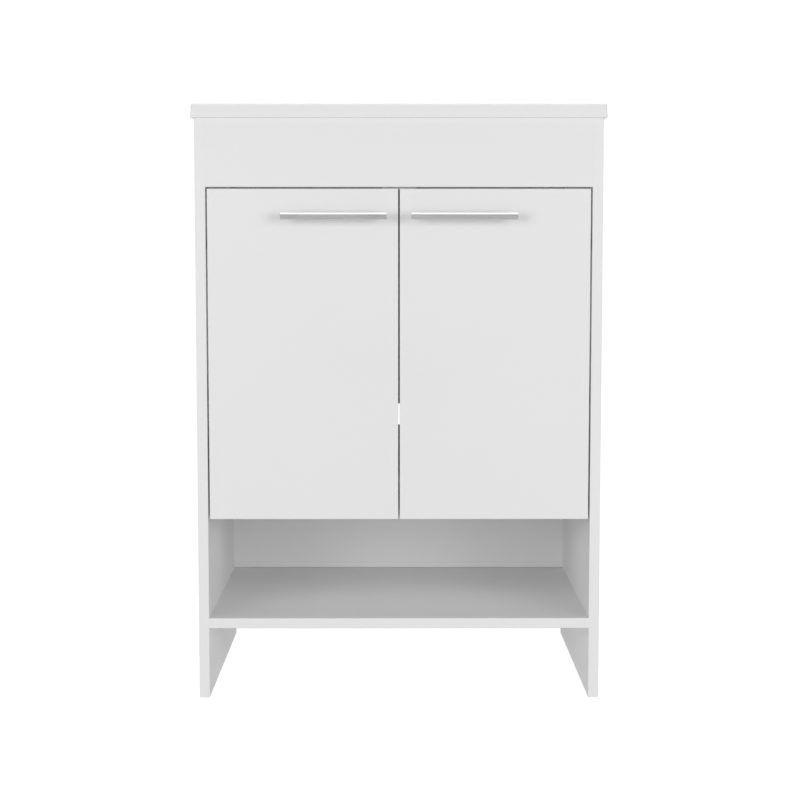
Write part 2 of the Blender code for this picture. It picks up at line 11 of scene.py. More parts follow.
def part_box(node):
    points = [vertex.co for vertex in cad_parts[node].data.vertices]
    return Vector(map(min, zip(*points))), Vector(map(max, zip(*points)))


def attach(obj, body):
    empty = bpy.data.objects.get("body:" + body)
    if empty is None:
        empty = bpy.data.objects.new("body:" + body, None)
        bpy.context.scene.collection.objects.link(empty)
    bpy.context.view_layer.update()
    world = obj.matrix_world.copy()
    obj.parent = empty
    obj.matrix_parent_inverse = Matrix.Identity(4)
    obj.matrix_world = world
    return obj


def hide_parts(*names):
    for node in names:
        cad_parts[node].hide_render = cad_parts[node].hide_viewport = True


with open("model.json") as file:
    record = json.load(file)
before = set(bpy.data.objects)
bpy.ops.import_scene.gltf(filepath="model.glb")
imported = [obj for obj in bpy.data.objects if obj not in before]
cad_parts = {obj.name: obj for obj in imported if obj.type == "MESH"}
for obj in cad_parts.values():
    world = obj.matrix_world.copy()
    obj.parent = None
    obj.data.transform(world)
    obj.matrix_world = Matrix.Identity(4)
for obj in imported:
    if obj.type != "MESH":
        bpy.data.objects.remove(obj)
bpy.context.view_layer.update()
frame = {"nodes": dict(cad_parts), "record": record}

MM = 0.001
RECORD = frame["record"]
BODY_OF = {node: body for body, nodes in RECORD["behaviour"]["bodies"].items() for node in nodes}
OPENINGS = {opening["name"]: opening["box_m"] for opening in RECORD["physics"]["openings"]}
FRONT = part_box("left_side_panel")[0].y
SIDES = {"left": -1, "right": 1}
LEVELS = ("lower", "upper")

# Boards
BOARD_ROUND = 0.9 * MM  # radius of the edge banding's rounded corners
BAND_SHOWS = 0.35 * MM  # flat rim of the banding on a board's face
GLUE_LINE = 0.12 * MM
TIGHT_JOINT = 1.1 * MM  # how far a fitted board reaches past its end, into the panel's rounding
HOLE_CLEARANCE = 0.3 * MM

# Basin top, which keeps the CAD top's outline
TOP_DRAFT = 1.2 * MM
TOP_EDGE_ROUND = 2.0 * MM
TOP_CORNER = 3 * MM
BASIN_SIZE = (0.500, 0.270)
BASIN_CORNER = 60 * MM
BASIN_LIP = 6 * MM
BASIN_WALL = 9 * MM
BASIN_FLOOR_ABOVE_FOOT = 15 * MM  # basin floor's rim over the lowest point of the top
BASIN_FLOOR_ROUND = 35 * MM
BASIN_DRAFT = math.radians(6)
CORNER_SHRINK = 0.6
DRAIN_DISH_RADIUS = 32 * MM
DRAIN_DISH_DROP = 6 * MM
DRAIN_RADIUS = 22.5 * MM
DRAIN_MOUTH_ROUND = 1.5 * MM
OVERFLOW_RADIUS = 11 * MM
OVERFLOW_FLARE = 1.0 * MM
TAP_HOLE_RADIUS = 17.5 * MM
TAP_HOLE_FLARE = 1.2 * MM
UNDER_EDGE_ROUND = 0.4 * MM
CUTTER_DEPTH = 0.03
CUTTER_PAST = 0.004  # how far a hole's cutter starts above the surface

# Handles
BAR_BEVEL = 2.0 * MM  # along the upper front edge
BAR_BEVEL_ROUND = 0.2 * MM  # on the bevel's two corners
BAR_ROUND = 0.7 * MM  # on the other corners
BAR_END_TRIM = 0.25 * MM
BAR_BELOW_BOX = 0.4 * MM  # from the top of the CAD bar's box to the bar's top
POST_COLLAR = 1.4 * MM
POST_STEP = 0.5 * MM  # from the collar in to the waist
POST_CHAMFER = 0.2 * MM
POST_BITE = 0.25 * MM  # into the bar and into the door

# Hinges
RIM_STEP = 0.08 * MM  # from the flange's face down to the cup's rim
FLANGE_HALF_WIDTH = 12 * MM
FLANGE_THICKNESS = 1.2 * MM
FLANGE_CORNER = 7 * MM
FLANGE_ROUND = 0.3 * MM
MOUTH_INSIDE = 0.5 * MM  # from the cup's radius in to the flange's opening
BOSS_START = 8.0 * MM
BOSS_END = 12.9 * MM
BOSS_HALF_WIDTH = 3 * MM
BOSS_ROUND = 0.9 * MM
CUP_SCREW_OFFSET = 24.5 * MM
CUP_SCREW_LENGTH = 11 * MM
PRESSED_ROUND = 0.25 * MM

# Screws: head radius, head height and shank radius
CUP_SCREW_SIZE = (3.7 * MM, 1.5 * MM, 1.6 * MM)
SCREW_SIZES = {
    "handle_screw": (4.0 * MM, 2.2 * MM, 2.0 * MM),
    "plate_screw": (4.8 * MM, 2.2 * MM, 2.9 * MM),
    "lock_screw": (3.5 * MM, 1.8 * MM, 1.8 * MM),
}

# Shelf cams
CAM_ROUND = 0.5 * MM
CAM_DISH = 0.6 * MM
CAM_SLOT_DEPTH = 1.6 * MM

# Camera
CAMERA_AHEAD = 2.516  # in front of the front plane
CAMERA_HEIGHT = 0.6675
CAMERA_SIDE = -0.0052
CAMERA_DOWN = math.radians(5.11)
CAMERA_TURN = math.radians(-0.152)
CAMERA_LENS = 77.9

# Light
AMBIENT = 0.372
BACKDROP = 1.05
FLOOR_GLOW = 0.99
FRONT_WATTS = 6
FRONT_AHEAD = 4.0
SIDE_WATTS = 58.5
SIDE_AHEAD = 3.3
SIDE_OUT = 2.4
OVERHEAD_WATTS = 18
OVERHEAD_HEIGHT = 2.7
BAY_WATTS = 0.072
BAY_FORWARD = 0.08
BAY_ABOVE = 0.06


# Procedural materials


class Surface:
    """A Principled material with short ways to add and join the nodes that feed it."""

    def __init__(self, name, metallic=0.0):
        self.material = bpy.data.materials.new(name)
        self.material.use_nodes = True
        self.tree = self.material.node_tree
        self.shader = self.tree.nodes["Principled BSDF"]
        self.place = self.node("ShaderNodeTexCoord").outputs["Object"]
        self.set("Metallic", metallic)

    def node(self, kind, **settings):
        made = self.tree.nodes.new(kind)
        for name, value in settings.items():
            setattr(made, name, value)
        return made

    def feed(self, socket, value):
        if isinstance(value, bpy.types.NodeSocket):
            self.tree.links.new(value, socket)
        else:
            socket.default_value = value

    def set(self, name, value):
        self.feed(self.shader.inputs[name], value)

    def stretched(self, stretch):
        mapping = self.node("ShaderNodeMapping")
        self.feed(mapping.inputs["Vector"], self.place)
        mapping.inputs["Scale"].default_value = stretch
        return mapping.outputs["Vector"]

    def noise(self, scale, detail=2.0, stretch=(1, 1, 1)):
        made = self.node("ShaderNodeTexNoise")
        self.feed(made.inputs["Vector"], self.stretched(stretch))
        made.inputs["Scale"].default_value = scale
        made.inputs["Detail"].default_value = detail
        return made.outputs[0]

    def cells(self, scale, stretch=(1, 1, 1), output="Color"):
        made = self.node("ShaderNodeTexVoronoi")
        self.feed(made.inputs["Vector"], self.stretched(stretch))
        made.inputs["Scale"].default_value = scale
        return made.outputs[output]

    def span(self, value, low, high, start=0.3, end=0.7):
        """The value's stretch from start to end, laid over low to high."""
        made = self.node("ShaderNodeMapRange")
        self.feed(made.inputs["Value"], value)
        made.inputs["From Min"].default_value = start
        made.inputs["From Max"].default_value = end
        made.inputs["To Min"].default_value = low
        made.inputs["To Max"].default_value = high
        return made.outputs["Result"]

    def mix(self, factor, first, second):
        made = self.node("ShaderNodeMix", data_type="RGBA")
        self.feed(made.inputs[0], factor)
        self.feed(made.inputs[6], first)
        self.feed(made.inputs[7], second)
        return made.outputs[2]

    def bump(self, height, strength, distance, under=None):
        made = self.node("ShaderNodeBump")
        made.inputs["Strength"].default_value = strength
        made.inputs["Distance"].default_value = distance
        self.feed(made.inputs["Height"], height)
        if under:
            self.feed(made.inputs["Normal"], under)
        return made.outputs["Normal"]

    def edges(self, radius):
        """1 on edges sharper than the radius, 0 on flat ground."""
        rounded = self.node("ShaderNodeBevel", samples=4)
        rounded.inputs["Radius"].default_value = radius
        true = self.node("ShaderNodeNewGeometry").outputs["Normal"]
        product = self.node("ShaderNodeVectorMath", operation="DOT_PRODUCT")
        self.feed(product.inputs[0], rounded.outputs[0])
        self.feed(product.inputs[1], true)
        return self.span(product.outputs["Value"], 1.0, 0.0, 0.86, 0.995)


def grey(level, warmth=0.0):
    """A grey, warmer above 0 and cooler below."""
    return (level + warmth, level, level - warmth, 1.0)


def melamine(name, level, roughness, warmth=0.0):
    """White melamine: a faint cloudiness, a fine pearl grain, and edges rubbed a little shiny."""
    made = Surface(name)
    cloud = made.span(made.noise(2.6, 3), 0, 1)
    tone = made.mix(cloud, grey(level - 0.008, warmth), grey(level + 0.006, warmth))
    fleck = made.span(made.noise(310, 1), 0, 0.35, 0.55, 0.8)
    made.set("Base Color", made.mix(fleck, tone, grey(level - 0.03, warmth)))
    made.set("Specular IOR Level", 0.3)
    edge_shine = made.edges(0.5 * MM)
    base_roughness = made.span(made.noise(38, 4), roughness - 0.05, roughness + 0.05)
    rough = made.node("ShaderNodeMath", operation="MULTIPLY_ADD")
    made.feed(rough.inputs[0], edge_shine)
    rough.inputs[1].default_value = -0.08
    made.feed(rough.inputs[2], base_roughness)
    made.set("Roughness", rough.outputs[0])
    flatness = made.bump(made.noise(9, 2), 0.05, 0.4 * MM)
    made.set("Normal", made.bump(made.noise(1300, 1), 0.07, 0.05 * MM, flatness))
    return made.material


def particleboard():
    """Sawn particleboard: flakes of several browns, fine dust between them and crumbled edges."""
    made = Surface("raw_particleboard")
    flakes = made.cells(520, (1, 1, 0.6))
    split = made.node("ShaderNodeSeparateColor")
    made.feed(split.inputs[0], flakes)
    wood = made.mix(split.outputs[0], (0.40, 0.28, 0.17, 1), (0.66, 0.52, 0.35, 1))
    dust = made.span(made.noise(900, 3), 0, 0.8, 0.45, 0.75)
    dusty = made.mix(dust, wood, (0.24, 0.16, 0.10, 1))
    crumbled = made.span(made.edges(0.6 * MM), 0, 0.5, 0, 1)
    made.set("Base Color", made.mix(crumbled, dusty, (0.72, 0.60, 0.44, 1)))
    made.set("Roughness", made.span(made.noise(200, 2), 0.8, 0.95))
    coarse = made.bump(split.outputs[1], 0.4, 0.15 * MM)
    made.set("Normal", made.bump(made.noise(1500, 3), 0.5, 0.1 * MM, coarse))
    return made.material


def glaze():
    """White glaze over a moulded body: slow ripples, tiny pits, patchy gloss and thin edges."""
    made = Surface("white_glaze")
    cloud = made.span(made.noise(5, 2), 0, 1)
    tone = made.mix(cloud, grey(0.845, 0.001), grey(0.858, 0.001))
    pits = made.span(made.cells(95, output="Distance"), 0.5, 0.0, 0.0, 0.05)
    pitted = made.mix(pits, tone, grey(0.66, 0.01))
    thin = made.span(made.edges(0.8 * MM), 0, 0.05, 0, 1)
    made.set("Base Color", made.mix(thin, pitted, grey(0.70, 0.02)))
    made.set("Roughness", made.span(made.noise(14, 4), 0.20, 0.28))
    made.set("Coat Weight", 0.1)
    made.set("Coat Roughness", 0.10)
    ripple = made.bump(made.noise(22, 1), 0.06, 0.3 * MM)
    made.set("Normal", made.bump(made.noise(420, 2), 0.03, 0.04 * MM, ripple))
    return made.material


def bisque():
    """The unglazed underside of the top: matt, chalky, with mould marks."""
    made = Surface("unglazed_underside")
    cloud = made.span(made.noise(12, 4), 0, 1)
    made.set("Base Color", made.mix(cloud, grey(0.70, 0.02), grey(0.60, 0.02)))
    made.set("Roughness", made.span(made.noise(60, 3), 0.75, 0.9))
    made.set("Normal", made.bump(made.noise(240, 4), 0.35, 0.2 * MM))
    return made.material


def metal(name, level, roughness, warmth=0.0, brushed=None, grain=700):
    """Bare or plated metal, with a painted highlight that lightens its sharp edges. Brushed lines run
    along the axis of the smallest stretch.
    """
    made = Surface(name, metallic=1.0)
    stretch = brushed or (1, 1, 1)
    lines = made.noise(1.0 if brushed else grain, 3, stretch)
    smudge = made.span(made.noise(55, 4), 0, 1)
    tone = made.mix(made.span(lines, 0, 1), grey(level - 0.045, warmth), grey(level + 0.035, warmth))
    dulled = made.mix(smudge, tone, grey(level - 0.02, warmth))
    # painted highlight: sharp edges get a lighter base colour, which brightens the reflections along them
    edge_shine = made.edges(0.45 * MM)
    made.set("Base Color", made.mix(edge_shine, dulled, grey(min(0.95, level + 0.16), warmth)))
    made.set("Roughness", made.span(lines, roughness - 0.06, roughness + 0.09))
    made.set("Normal", made.bump(lines, 0.10, 0.03 * MM))
    return made.material


FACE = melamine("melamine_face", 0.850, 0.50)
BAND = melamine("melamine_edge_band", 0.856, 0.45)
GLUE = melamine("glue_line", 0.62, 0.55, 0.015)
RAW = particleboard()
GLAZE = glaze()
BISQUE = bisque()
NICKEL = metal("satin_nickel_brushed", 0.52, 0.13, 0.002, brushed=(14, 1500, 1500))
PLATE = metal("nickel_plate", 0.62, 0.22, 0.010)
ZINC = metal("zinc_plate", 0.66, 0.30, -0.006)
CASTING = metal("zinc_casting", 0.50, 0.46, 0.0, grain=420)
BOARD_SURFACES = (FACE, BAND, GLUE, RAW)


# Mesh helpers


def piece(name, shape, surfaces, node, smooth=32, stands_for=None):
    """Makes an object of the shape. It rides with the node's body and stands for that node, or for
    the nodes named. An empty stands_for leaves the CAD as it is."""
    mesh = bpy.data.meshes.new(name)
    shape.to_mesh(mesh)
    shape.free()
    for surface in surfaces:
        mesh.materials.append(surface)
    made = bpy.data.objects.new(name, mesh)
    bpy.context.scene.collection.objects.link(made)
    finish_shading(made, smooth)
    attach(made, BODY_OF[node])
    if stands_for != ():
        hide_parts(*(stands_for or (node,)))
    return made


def finish_shading(made, smooth):
    made.data.shade_smooth()
    made.data.set_sharp_from_angle(angle=math.radians(smooth))
    normals = made.modifiers.new("weighted_normals", "WEIGHTED_NORMAL")
    normals.keep_sharp = True


def block(low, high, rounding=0.0, segments=3, square=()):
    """A box with rounded edges, as a bmesh. Round each face named in square, as (axis, sign), the
    edges stay sharp."""
    low, high = Vector(low), Vector(high)
    shape = bmesh.new()
    bmesh.ops.create_cube(shape, size=1.0)
    bmesh.ops.scale(shape, vec=high - low, verts=shape.verts)
    bmesh.ops.translate(shape, vec=(low + high) / 2, verts=shape.verts)
    if rounding:
        kept = set()
        for axis, sign in square:
            for face in shape.faces:
                if face.normal[axis] * sign > 0.9:
                    kept.update(face.edges)
        chosen = [e for e in shape.edges if e not in kept]
        bmesh.ops.bevel(
            shape,
            geom=chosen,
            offset=rounding,
            segments=segments,
            profile=0.5,
            affect="EDGES",
        )
    return shape


def lathe(profile, foot, direction, steps=48):
    """A turned shape, as a bmesh. The profile lists (radius, height) from the axis round to the axis."""
    shape = bmesh.new()
    points = [shape.verts.new((radius, 0, height)) for radius, height in profile]
    for first, second in zip(points, points[1:]):
        shape.edges.new((first, second))
    bmesh.ops.spin(
        shape,
        geom=shape.verts[:] + shape.edges[:],
        cent=(0, 0, 0),
        axis=(0, 0, 1),
        angle=math.tau,
        steps=steps,
    )
    bmesh.ops.remove_doubles(shape, verts=shape.verts, dist=0.002 * MM)
    bmesh.ops.recalc_face_normals(shape, faces=shape.faces)
    turn = Vector(direction).to_track_quat("Z", "Y").to_matrix().to_4x4()
    shape.transform(Matrix.Translation(foot) @ turn)
    return shape


def arc(centre, radius, start, end, steps):
    """Points (across, height) round part of a circle, angles in degrees."""
    turns = [math.radians(start + (end - start) * i / steps) for i in range(steps + 1)]
    return [(centre[0] + radius * math.cos(t), centre[1] + radius * math.sin(t)) for t in turns]


def combined(shape, operation, tools, surfaces, tool_surface=None):
    """The shape with each tool cut out of it or joined to it. Tools are bmeshes and are used up."""

    def hold(source, materials):
        mesh = bpy.data.meshes.new("working")
        source.to_mesh(mesh)
        source.free()
        for material in materials:
            mesh.materials.append(material)
        held = bpy.data.objects.new("working", mesh)
        bpy.context.scene.collection.objects.link(held)
        return held

    target = hold(shape, surfaces)
    cutters = [hold(tool, [tool_surface or surfaces[0]]) for tool in tools]
    for cutter in cutters:
        boolean = target.modifiers.new("cut", "BOOLEAN")
        boolean.operation = operation
        boolean.object = cutter
        boolean.solver = "EXACT"
        boolean.material_mode = "TRANSFER"
    bpy.context.view_layer.update()
    result = bmesh.new()
    depsgraph = bpy.context.evaluated_depsgraph_get()
    result.from_object(target, depsgraph)
    order = [slot.material for slot in target.evaluated_get(depsgraph).material_slots]
    wanted = {index: surfaces.index(found) for index, found in enumerate(order) if found in surfaces}
    for face in result.faces:
        face.material_index = wanted.get(face.material_index, 0)
    bmesh.ops.remove_doubles(result, verts=result.verts, dist=0.002 * MM)
    bmesh.ops.dissolve_degenerate(result, edges=result.edges, dist=0.002 * MM)
    for held in [target, *cutters]:
        mesh = held.data
        bpy.data.objects.remove(held)
        bpy.data.meshes.remove(mesh)
    return result


# Boards and doors


def board_shape(low, high, raw=(), square=(), fitted=False):
    """A faced board: banded rounded edges, a glue line round each face, and raw edges where named.
    A fitted board runs up to the panels at its ends, tight enough that the joints don't show."""
    size = high - low
    thin = min(range(3), key=lambda i: size[i])
    if fitted:
        bite = Vector((TIGHT_JOINT, 0.02 * MM, 0))
        low, high = low - bite, high + Vector((TIGHT_JOINT, 0, 0))
        square = (*square, (0, -1), (0, 1))
    shape = block(low, high, BOARD_ROUND, square=square)
    faces = [f for f in shape.faces if abs(f.normal[thin]) > 0.999 and f.calc_area() > 1e-3]
    for face in shape.faces:
        face.material_index = 1
    for face in faces:
        bmesh.ops.inset_individual(shape, faces=[face], thickness=BAND_SHOWS, use_even_offset=True)
        line = bmesh.ops.inset_individual(shape, faces=[face], thickness=GLUE_LINE)
        for rim in line["faces"]:
            rim.material_index = 2
        face.material_index = 0
    for axis, sign in raw:
        for face in shape.faces:
            if face.normal[axis] * sign > 0.999 and face.material_index == 1:
                face.material_index = 3
    return shape


REAR, UP, DOWN = (1, 1), (2, 1), (2, -1)
RAW_EDGES = {
    "left_side_panel": (REAR, DOWN),
    "right_side_panel": (REAR, DOWN),
    "bottom_shelf": (REAR,),
    "cabinet_floor": (REAR,),
    "inner_shelf": (REAR,),
    "front_lower_rail": (DOWN,),
    "front_apron": (UP,),
    "centre_stile": (UP,),
    "back_panel": (DOWN,),
    "rear_wall_rail": (UP, DOWN),
}
STANDING = ("left_side_panel", "right_side_panel", "centre_stile")
UNDER_TOP = ("left_side_panel", "right_side_panel", "front_apron")


def drill(node, direction):
    """A cutter that leaves clearance round a CAD node, from its box, along an axis index."""
    low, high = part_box(node)
    centre = (low + high) / 2
    across = [i for i in range(3) if i != direction]
    radius = (high[across[0]] - low[across[0]]) / 2 + HOLE_CLEARANCE
    half = (high[direction] - low[direction]) / 2 + HOLE_CLEARANCE
    axis = Vector([1 if i == direction else 0 for i in range(3)])
    foot = centre - axis * half
    return lathe([(0, 0), (radius, 0), (radius, 2 * half), (0, 2 * half)], foot, axis)


def boards():
    for node, raw in RAW_EDGES.items():
        square = (UP,) if node in UNDER_TOP else ()
        shape = board_shape(*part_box(node), raw, square, fitted=node not in STANDING)
        if node == "bottom_shelf":
            cams = [n for n in frame["nodes"] if n.startswith("shelf_cam")]
            holes = [drill(cam, 2) for cam in sorted(cams)]
            shape = combined(shape, "DIFFERENCE", holes, BOARD_SURFACES, RAW)
        piece(f"{node}_board", shape, BOARD_SURFACES, node)


def doors():
    for side in SIDES:
        node = f"{side}_door"
        low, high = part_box(node)
        recesses = []
        for level in LEVELS:
            cup_low, cup_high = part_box(f"{side}_{level}_hinge_cup")
            # the cup is round where it is sunk, and only its flange is taller than it is wide
            radius = (cup_high.x - cup_low.x) / 2 + HOLE_CLEARANCE
            foot = (cup_low + cup_high) / 2
            foot.y = cup_low.y - HOLE_CLEARANCE
            profile = [(0, 0), (radius, 0), (radius, CUTTER_DEPTH), (0, CUTTER_DEPTH)]
            recesses.append(lathe(profile, foot, (0, 1, 0), 64))
        shape = combined(board_shape(low, high), "DIFFERENCE", recesses, BOARD_SURFACES, RAW)
        piece(f"{node}_board", shape, BOARD_SURFACES, node)


# Basin top


def outline(half_width, half_length, corner, centre_y, height, corner_steps=12, runs=(14, 8)):
    """A rectangle with round corners, anticlockwise from above, from its first corner's start."""
    corners = ((1, 1), (-1, 1), (-1, -1), (1, -1))
    points = []
    for quarter, (sx, sy) in enumerate(corners):
        for step in range(corner_steps + 1):
            angle = math.radians(90) * (quarter + step / corner_steps)
            x = sx * (half_width - corner) + corner * math.cos(angle)
            y = sy * (half_length - corner) + corner * math.sin(angle)
            points.append(Vector((x, centre_y + y, height)))
        following = corners[(quarter + 1) % 4]
        angle = math.radians(90) * (quarter + 1)
        next_x = following[0] * (half_width - corner) + corner * math.cos(angle)
        next_y = following[1] * (half_length - corner) + corner * math.sin(angle)
        target = Vector((next_x, centre_y + next_y, height))
        start = points[-1].copy()
        run = runs[quarter % 2]
        points += [start.lerp(target, i / run) for i in range(1, run)]
    return points


def basin_centre():
    low, high = OPENINGS["drain_hole"]
    return (low[1] + high[1]) / 2


def basin_ring(inset, height):
    half_width, half_length = (size / 2 - inset for size in BASIN_SIZE)
    return outline(half_width, half_length, BASIN_CORNER - CORNER_SHRINK * inset, basin_centre(), height)


def towards_circle(ring, radius, height, share):
    """A ring part of the way from an outline to a circle round the drain."""
    centre = Vector((0, basin_centre(), height))
    count = len(ring)
    angles = [math.atan2(p.y - centre.y, p.x) for p in ring]
    round_ring = [centre + radius * Vector((math.cos(a), math.sin(a), 0)) for a in angles]
    return [
        Vector((*ring[i].xy.lerp(round_ring[i].xy, share), height)) for i in range(count)
    ]


def basin_side(offset, floor):
    """Rings down the basin's wall and over its floor to the drain, moved outward by an offset."""
    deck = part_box("sink_top")[1].z
    wall_top = deck - BASIN_LIP
    round_top = floor + BASIN_FLOOR_ROUND
    foot = BASIN_LIP + (wall_top - round_top) * math.tan(BASIN_DRAFT)
    radius = BASIN_FLOOR_ROUND + offset
    rings = []
    for across, height in arc((foot - offset + radius, round_top), radius, 180, 270, 12):
        rings.append(basin_ring(across, height))
    last = rings[-1]
    rim = floor - offset
    for step in range(1, 8):
        share = step / 7
        drop = DRAIN_DISH_DROP * share ** 1.5
        rings.append(towards_circle(last, DRAIN_DISH_RADIUS + offset, rim - drop, share))
    return rings


def sink_top():
    low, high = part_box("sink_top")
    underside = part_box("left_side_panel")[1].z
    floor = low.z + BASIN_FLOOR_ABOVE_FOOT
    centre_y = (low.y + high.y) / 2
    half_width, half_length = (high.x - low.x) / 2, (high.y - low.y) / 2

    def edge(inset, height):
        return outline(half_width - inset, half_length - inset, TOP_CORNER, centre_y, height)

    rings = []
    kinds = []

    def add(ring, glazed=True):
        rings.append(ring)
        kinds.append(glazed)

    # underneath, from the drain's foot out to the edge
    hole = towards_circle(basin_ring(0, 0), DRAIN_RADIUS, low.z, 1)
    add(hole, False)
    for ring in reversed(basin_side(BASIN_WALL, floor)):
        add(ring, False)
    add(basin_ring(BASIN_LIP - BASIN_WALL + 1 * MM, underside - 6 * MM), False)
    add(basin_ring(BASIN_LIP - BASIN_WALL - 2 * MM, underside), False)
    add(edge(2.5 * MM, underside), False)
    add(edge(1.0 * MM, underside), False)
    # the drafted edge and its two small roundings
    lower_centre = (UNDER_EDGE_ROUND, underside + UNDER_EDGE_ROUND)
    for across, height in arc(lower_centre, UNDER_EDGE_ROUND, 270, 180, 4):
        add(edge(across, height))
    round_centre = (TOP_DRAFT + TOP_EDGE_ROUND, high.z - TOP_EDGE_ROUND)
    for across, height in arc(round_centre, TOP_EDGE_ROUND, 175, 90, 8):
        add(edge(across, height))
    # the deck and the basin's lip
    add(edge(9 * MM, high.z))
    for across, height in arc((0, high.z - BASIN_LIP), BASIN_LIP, 90, 6, 10):
        add(basin_ring(across, height))
    for ring in basin_side(0, floor):
        add(ring)
    seat = floor - DRAIN_DISH_DROP
    mouth_centre = (DRAIN_RADIUS + DRAIN_MOUTH_ROUND, seat - DRAIN_MOUTH_ROUND)
    for across, height in arc(mouth_centre, DRAIN_MOUTH_ROUND, 90, 180, 4):
        add(towards_circle(hole, across, height, 1))
    shape = bmesh.new()
    loops = [[shape.verts.new(p) for p in ring] for ring in rings]
    count = len(loops[0])
    for index, (first, second) in enumerate(zip(loops, loops[1:] + loops[:1])):
        for i in range(count):
            j = (i + 1) % count
            face = shape.faces.new((first[i], second[i], second[j], first[j]))
            face.material_index = 0 if kinds[index] else 1
    bmesh.ops.recalc_face_normals(shape, faces=shape.faces)
    cutters = [tap_cutter(high.z), overflow_cutter()]
    shape = combined(shape, "DIFFERENCE", cutters, (GLAZE, BISQUE), GLAZE)
    piece("sink_top_glazed", shape, (GLAZE, BISQUE), "sink_top", smooth=40)


def flared(radius, flare):
    """The profile of a hole cutter whose mouth is rounded over."""
    mouth = arc((radius + flare, -flare), flare, 180, 90, 6)
    foot = [(0, -CUTTER_DEPTH), (radius, -CUTTER_DEPTH)]
    return [*foot, *mouth, (radius + flare, CUTTER_PAST), (0, CUTTER_PAST)]


def tap_cutter(deck):
    low, high = OPENINGS["tap_hole"]
    centre = Vector(((low[0] + high[0]) / 2, (low[1] + high[1]) / 2, deck))
    profile = flared(TAP_HOLE_RADIUS, TAP_HOLE_FLARE)
    return lathe(profile, centre, (0, 0, 1), 64)


def overflow_cutter():
    low, high = OPENINGS["overflow_hole"]
    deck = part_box("sink_top")[1].z
    height = (low[2] + high[2]) / 2
    inset = BASIN_LIP + (deck - BASIN_LIP - height) * math.tan(BASIN_DRAFT)
    wall = Vector((0, basin_centre() + BASIN_SIZE[1] / 2 - inset, height))
    lean = Vector((0, -math.cos(BASIN_DRAFT), math.sin(BASIN_DRAFT)))
    return lathe(flared(OVERFLOW_RADIUS, OVERFLOW_FLARE), wall, lean, 48)


# Handles


def soften(corners, radii, steps=5):
    """The corners of an outline, each swapped for a short curve that starts and ends its radius away."""
    points = []
    count = len(corners)
    for i, (corner, radius) in enumerate(zip(corners, radii)):
        start = corner + (corners[i - 1] - corner).normalized() * radius
        end = corner + (corners[(i + 1) % count] - corner).normalized() * radius
        for step in range(steps + 1):
            t = step / steps
            points.append(start * (1 - t) ** 2 + corner * 2 * t * (1 - t) + end * t * t)
    return points


def bar_shape(low, high):
    """A straight bar: a wide bevel along its upper front edge, soft lower edges and square ends."""
    top = high.z - BAR_BELOW_BOX
    corners = [
        Vector((low.y, top - BAR_BEVEL)),
        Vector((low.y + BAR_BEVEL, top)),
        Vector((high.y, top)),
        Vector((high.y, low.z)),
        Vector((low.y, low.z)),
    ]
    radii = (BAR_BEVEL_ROUND, BAR_BEVEL_ROUND, BAR_ROUND, BAR_ROUND, BAR_ROUND)
    points = soften(corners, radii)
    centre = Vector(((high.y + low.y) / 2, (high.z + low.z) / 2))

    def section(x, inset):
        shrink = 1 - 2 * inset / (high.z - low.z)
        return [Vector((x, *(centre + (p - centre) * shrink))) for p in points]

    sections = [
        section(low.x, BAR_END_TRIM),
        section(low.x + BAR_END_TRIM, 0),
        section(high.x - BAR_END_TRIM, 0),
        section(high.x, BAR_END_TRIM),
    ]
    shape = bmesh.new()
    loops = [[shape.verts.new(p) for p in ring] for ring in sections]
    count = len(loops[0])
    for first, second in zip(loops, loops[1:]):
        for i in range(count):
            j = (i + 1) % count
            shape.faces.new((first[i], first[j], second[j], second[i]))
    shape.faces.new(loops[0][::-1])
    shape.faces.new(loops[-1])
    bmesh.ops.recalc_face_normals(shape, faces=shape.faces)
    return shape


def handles():
    for side in SIDES:
        low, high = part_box(f"{side}_handle_bar")
        bar = bar_shape(low, high)
        piece(f"{side}_handle_bar_satin", bar, (NICKEL,), f"{side}_handle_bar")
        for place in ("inner", "outer"):
            node = f"{side}_handle_post_{place}"
            post_low, post_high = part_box(node)
            radius = (post_high.x - post_low.x) / 2
            length = post_high.y - post_low.y + 2 * POST_BITE
            foot = (post_low + post_high) / 2
            foot.y = post_high.y + POST_BITE
            profile = [(0, 0), (radius - POST_CHAMFER, 0), (radius, POST_CHAMFER), (radius, POST_COLLAR)]
            profile += arc((radius, POST_COLLAR + POST_STEP), POST_STEP, 270, 180, 4)
            profile += [(radius - POST_STEP, length), (0, length)]
            piece(f"{node}_turned", lathe(profile, foot, (0, -1, 0)), (NICKEL,), node)


# Fasteners


def cross_recess(radius, depth, seat, direction):
    """A cutter for a cross slot, with its mouth at the seat."""
    arms = []
    for turn, deeper in ((0, 1.0), (90, 1.06)):
        arm = bmesh.new()
        bmesh.ops.create_cube(arm, size=1.0)
        bmesh.ops.scale(arm, vec=(radius * 1.15, radius * 0.26, depth * 2 * deeper), verts=arm.verts)
        for vert in arm.verts:
            if vert.co.z < 0:
                vert.co.x *= 0.55
        arm.transform(Matrix.Rotation(math.radians(turn + 20), 4, "Z"))
        quat = Vector(direction).to_track_quat("Z", "Y").to_matrix().to_4x4()
        arm.transform(Matrix.Translation(seat) @ quat)
        arms.append(arm)
    return arms


